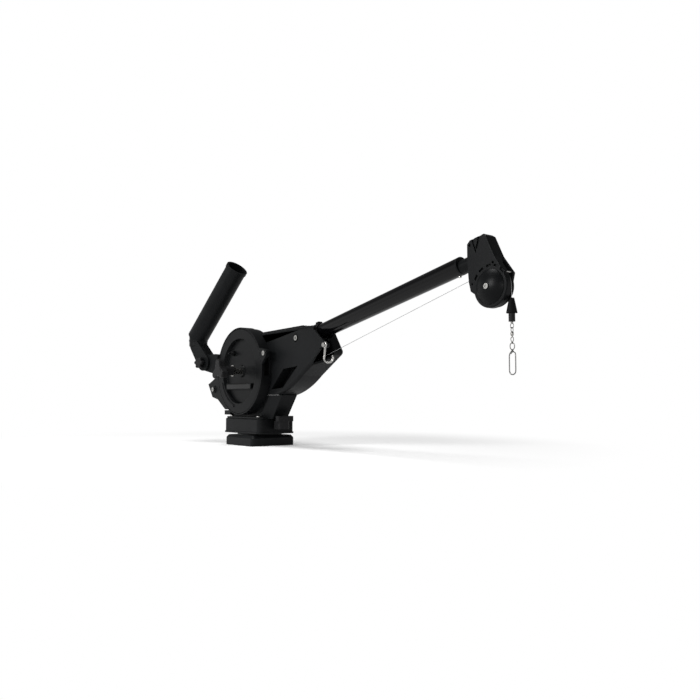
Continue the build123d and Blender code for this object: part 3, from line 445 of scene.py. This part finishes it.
def wire_wrap(name, top, radius, pitch, turns):
    """A short helix of wire down a stem."""
    route = []
    for step in range(turns * 8 + 1):
        angle = math.tau * step / 8
        route.append((snap_x + radius * math.cos(angle), radius * math.sin(angle), top - pitch * step / 8))
    return bent_wire(name, route, 0.0011, "snap")


wire_wrap("snap_lower_wrap", 0.1852, 0.00145, 0.0011, 4)
wire_wrap("snap_upper_wrap", 0.1975, 0.00125, 0.0010, 3)
middle_loop = [(snap_x, 0, 0.1957), (snap_x + 0.0040, 0, 0.1945), (snap_x + 0.0046, 0, 0.1905),
               (snap_x + 0.0040, 0, 0.1862), (snap_x, 0, 0.1845), (snap_x - 0.0040, 0, 0.1862),
               (snap_x - 0.0046, 0, 0.1905), (snap_x - 0.0040, 0, 0.1945)]
bent_wire("snap_middle_link", middle_loop, 0.0015, "snap", ring=True)
upper_eye = [(snap_x, 0, 0.2047), (snap_x + 0.0026, 0, 0.2040), (snap_x + 0.0027, 0, 0.2012),
             (snap_x + 0.0022, 0, 0.1985), (snap_x, 0, 0.1976), (snap_x - 0.0022, 0, 0.1985),
             (snap_x - 0.0027, 0, 0.2012), (snap_x - 0.0026, 0, 0.2040)]
bent_wire("snap_swivel_eye", upper_eye, 0.0013, "snap", ring=True)
pin_outline = [(0.0009, 0), (0.0014, 0.0003), (0.0015, 0.0012), (0.0014, 0.0022), (0.0009, 0.0025)]
turned("snap_swivel_pin", (snap_x, 0, 0.2039), (0, 0, 1), pin_outline, stainless, "snap",
       steps=32)
barrel_outline = [(0.0012, 0), (0.0019, 0.0003), (0.0026, 0.0016), (0.0027, 0.0034), (0.0026, 0.0052),
                  (0.0019, 0.0065), (0.0010, 0.0068)]
turned("swivel_barrel", (snap_x, 0, 0.2067), (0, 0, 1), barrel_outline, stainless, "barrel_swivel",
       steps=32)
stem_outline = [(0.0006, 0), (0.0009, 0.0003), (0.0009, 0.0038), (0.0006, 0.0041)]
turned("snap_stem", (snap_x, 0, 0.1942), (0, 0, 1), stem_outline, stainless, "snap", steps=32)


# Power socket on the far side: two brass pins in the moulded shroud take the boat's lead.
brass = bare_metal("turned brass", "#C9A55C", 0.3, 0.0006)
inlet_x = -0.06
inlet_z = 0.15
pin_foot = 0.0318
inlet_pin_outline = [(0.0009, 0), (0.0009, 0.0078), (0.0007, 0.0086), (0.0003, 0.0090)]
for number, offset in enumerate((-0.0024, 0.0024)):
    turned("inlet_pin_%d" % (number + 1), (inlet_x + offset, pin_foot, inlet_z), (0, 1, 0),
           inlet_pin_outline, brass, "upper", steps=24)


# Grip of the lock pull: five low moulded ribs across its outer face, for wet fingers.
pull_face = 0.1125
pull_rib_spacing = 0.007
for number in range(5):
    y = -0.014 + pull_rib_spacing * number
    rib_mesh = bpy.data.meshes.new("pull_rib")
    form = bmesh.new()
    section = [(-0.0010, -0.0003), (-0.0008, 0.0003), (-0.0003, 0.0006), (0.0003, 0.0006), (0.0008, 0.0003),
               (0.0010, -0.0003)]
    rows = []
    for z, share in ((0.0588, 0.4), (0.0594, 1), (0.0666, 1), (0.0672, 0.4)):
        rows.append([form.verts.new((pull_face + rise * (share if rise > 0 else 1), y + side * share, z))
                     for side, rise in section])
    for first, second in zip(rows, rows[1:]):
        for step in range(len(section)):
            after = (step + 1) % len(section)
            form.faces.new((first[step], first[after], second[after], second[step])).smooth = True
    form.faces.new(rows[0][::-1])
    form.faces.new(rows[-1])
    bmesh.ops.recalc_face_normals(form, faces=form.faces)
    form.to_mesh(rib_mesh)
    form.free()
    add_piece("pull_rib_%d" % (number + 1), rib_mesh, grip_nylon, "lock_pull")


# Studio: a white sheet that keeps the soft shadow round the base and turns to plain white
# further out, a white surround, and three soft lamps.
def seen_rays(tree):
    """The light path, and a node that is 1 for rays that reach the picture."""
    path = add_node(tree, "ShaderNodeLightPath")
    seen = add_node(tree, "ShaderNodeMath", {"operation": "MAXIMUM"})
    tree.links.new(path.outputs["Is Camera Ray"], seen.inputs[0])
    tree.links.new(path.outputs["Is Glossy Ray"], seen.inputs[1])
    seen_through = add_node(tree, "ShaderNodeMath", {"operation": "MAXIMUM"})
    tree.links.new(seen.outputs[0], seen_through.inputs[0])
    tree.links.new(path.outputs["Is Transmission Ray"], seen_through.inputs[1])
    return path, seen_through


floor_material, tree, shader = new_material("white floor")
shader.inputs["Base Color"].default_value = colour("#F6F6F6")
shader.inputs["Roughness"].default_value = 0.9
shader.inputs["Specular IOR Level"].default_value = 0
path, seen_through = seen_rays(tree)
place = add_node(tree, "ShaderNodeNewGeometry")
distance = add_node(tree, "ShaderNodeVectorMath", {"operation": "LENGTH"})
tree.links.new(place.outputs["Position"], distance.inputs[0])
fade = add_node(tree, "ShaderNodeMapRange",
                {"From Min": 0.35, "From Max": 0.85, "interpolation_type": "SMOOTHSTEP"},
                [("Value", distance, "Value")])
lift = add_node(tree, "ShaderNodeMath", {"operation": "MULTIPLY"})
tree.links.new(seen_through.outputs[0], lift.inputs[0])
lift.inputs[1].default_value = 0.23
lifted = add_node(tree, "ShaderNodeEmission", links=[("Strength", lift, "Value")])
near_floor = add_node(tree, "ShaderNodeAddShader")
tree.links.new(shader.outputs["BSDF"], near_floor.inputs[0])
tree.links.new(lifted.outputs["Emission"], near_floor.inputs[1])
far_share = add_node(tree, "ShaderNodeMath", {"operation": "MULTIPLY"})
tree.links.new(seen_through.outputs[0], far_share.inputs[0])
tree.links.new(fade.outputs["Result"], far_share.inputs[1])
far_floor = add_node(tree, "ShaderNodeEmission", {"Color": (1, 1, 1, 1), "Strength": 1.0})
floor_shader = add_node(tree, "ShaderNodeMixShader")
tree.links.new(far_share.outputs[0], floor_shader.inputs["Fac"])
tree.links.new(near_floor.outputs["Shader"], floor_shader.inputs[1])
tree.links.new(far_floor.outputs["Emission"], floor_shader.inputs[2])
tree.links.new(floor_shader.outputs["Shader"], tree.nodes["Material Output"].inputs["Surface"])
floor_mesh = bpy.data.meshes.new("floor")
floor_half = 12
floor_corners = [(-floor_half, -floor_half, 0), (floor_half, -floor_half, 0),
                 (floor_half, floor_half, 0), (-floor_half, floor_half, 0)]
floor_mesh.from_pydata(floor_corners, [], [(0, 1, 2, 3)])
floor_mesh.materials.append(floor_material)
floor = bpy.data.objects.new("floor", floor_mesh)
bpy.context.scene.collection.objects.link(floor)

world = bpy.data.worlds.new("white surround")
bpy.context.scene.world = world
world.use_nodes = True
tree = world.node_tree
surround = tree.nodes["Background"]
path, seen_through = seen_rays(tree)
direction = add_node(tree, "ShaderNodeTexCoord")
height = add_node(tree, "ShaderNodeSeparateXYZ", links=[("Vector", direction, "Generated")])
ceiling = add_node(tree, "ShaderNodeMapRange",
                   {"From Min": 0.1, "From Max": 0.5, "To Min": 1.0, "To Max": 0.16,
                    "interpolation_type": "SMOOTHSTEP"}, [("Value", height, "Z")])
ambient = add_node(tree, "ShaderNodeMapRange", {"To Min": 0.55, "To Max": 1.0},
                   [("Value", seen_through, "Value")])
mirrored = add_node(tree, "ShaderNodeMath", {"operation": "MULTIPLY"})
tree.links.new(ceiling.outputs["Result"], mirrored.inputs[0])
tree.links.new(ambient.outputs["Result"], mirrored.inputs[1])
strength = add_node(tree, "ShaderNodeMath", {"operation": "MAXIMUM"})
tree.links.new(mirrored.outputs[0], strength.inputs[0])
tree.links.new(path.outputs["Is Camera Ray"], strength.inputs[1])
surround.inputs["Color"].default_value = (1, 1, 1, 1)
tree.links.new(strength.outputs[0], surround.inputs["Strength"])


def soft_lamp(name, place, aim, size, power):
    """A square softbox that faces a point."""
    data = bpy.data.lights.new(name, "AREA")
    data.shape = "SQUARE"
    data.size = size
    data.energy = power
    lamp = bpy.data.objects.new(name, data)
    lamp.location = place
    lamp.rotation_euler = (Vector(aim) - Vector(place)).to_track_quat("-Z", "Y").to_euler()
    bpy.context.scene.collection.objects.link(lamp)
    return lamp


soft_lamp("top softbox", (0.15, -0.35, 1.8), (0.2, 0, 0.2), 0.8, 20)
soft_lamp("side softbox", (-0.15, -2.1, 1.0), (0, 0, 0.2), 0.6, 30)
soft_lamp("strip softbox", (1.5, -1.5, 0.5), (0.2, 0, 0.25), 0.35, 3.5)
